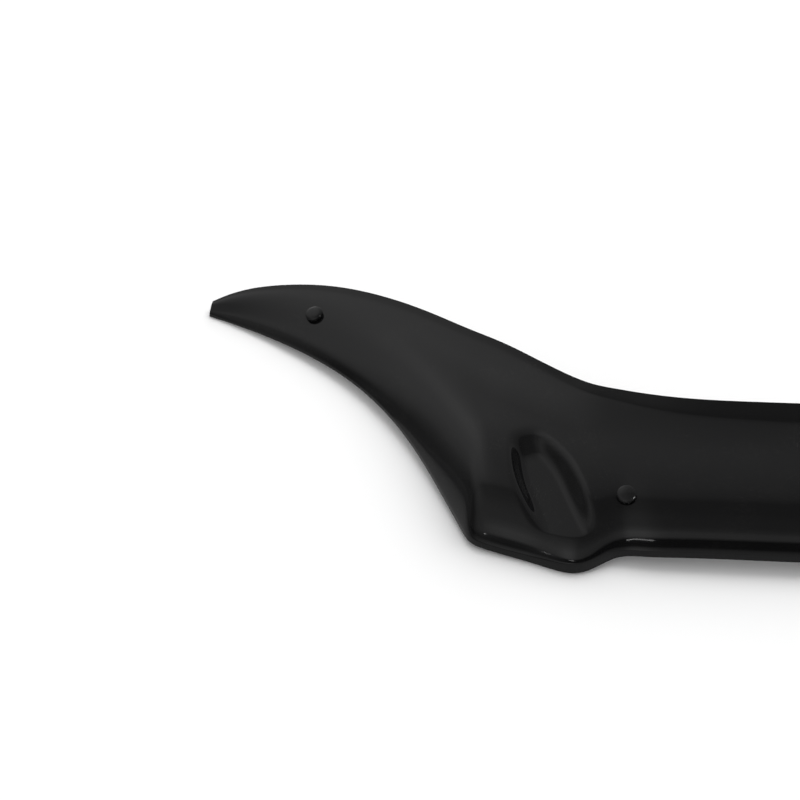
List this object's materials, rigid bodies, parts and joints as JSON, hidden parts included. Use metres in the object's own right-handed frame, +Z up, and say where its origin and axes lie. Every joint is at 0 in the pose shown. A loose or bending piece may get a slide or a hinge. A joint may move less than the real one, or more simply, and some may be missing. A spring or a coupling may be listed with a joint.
{
  "type": "hood bug deflector",
  "caption": "Black formed plastic hood shield with two swept horns, a fluted prow on each side and rubber cushioning buttons.",
  "frame": {"origin": "on the centre plane, at the middle of the part's length from front to rear, on the surface it lies on", "axes": "+X to the right as seen from the front in the picture, +Y to the rear of the vehicle, +Z up"},
  "size_m": [1.361, 0.4174, 0.0819],
  "materials": {
    "sheet": "gloss",
    "button": "satin",
    "tape": "matte foam"
  },
  "bodies": {
    "root": {"shield": "sheet", "button_face_left": "button", "button_face_right": "button", "button_horn_left": "button", "button_horn_right": "button", "tape_middle": "tape", "tape_left": "tape", "tape_right": "tape"}
  },
  "joints": []
}
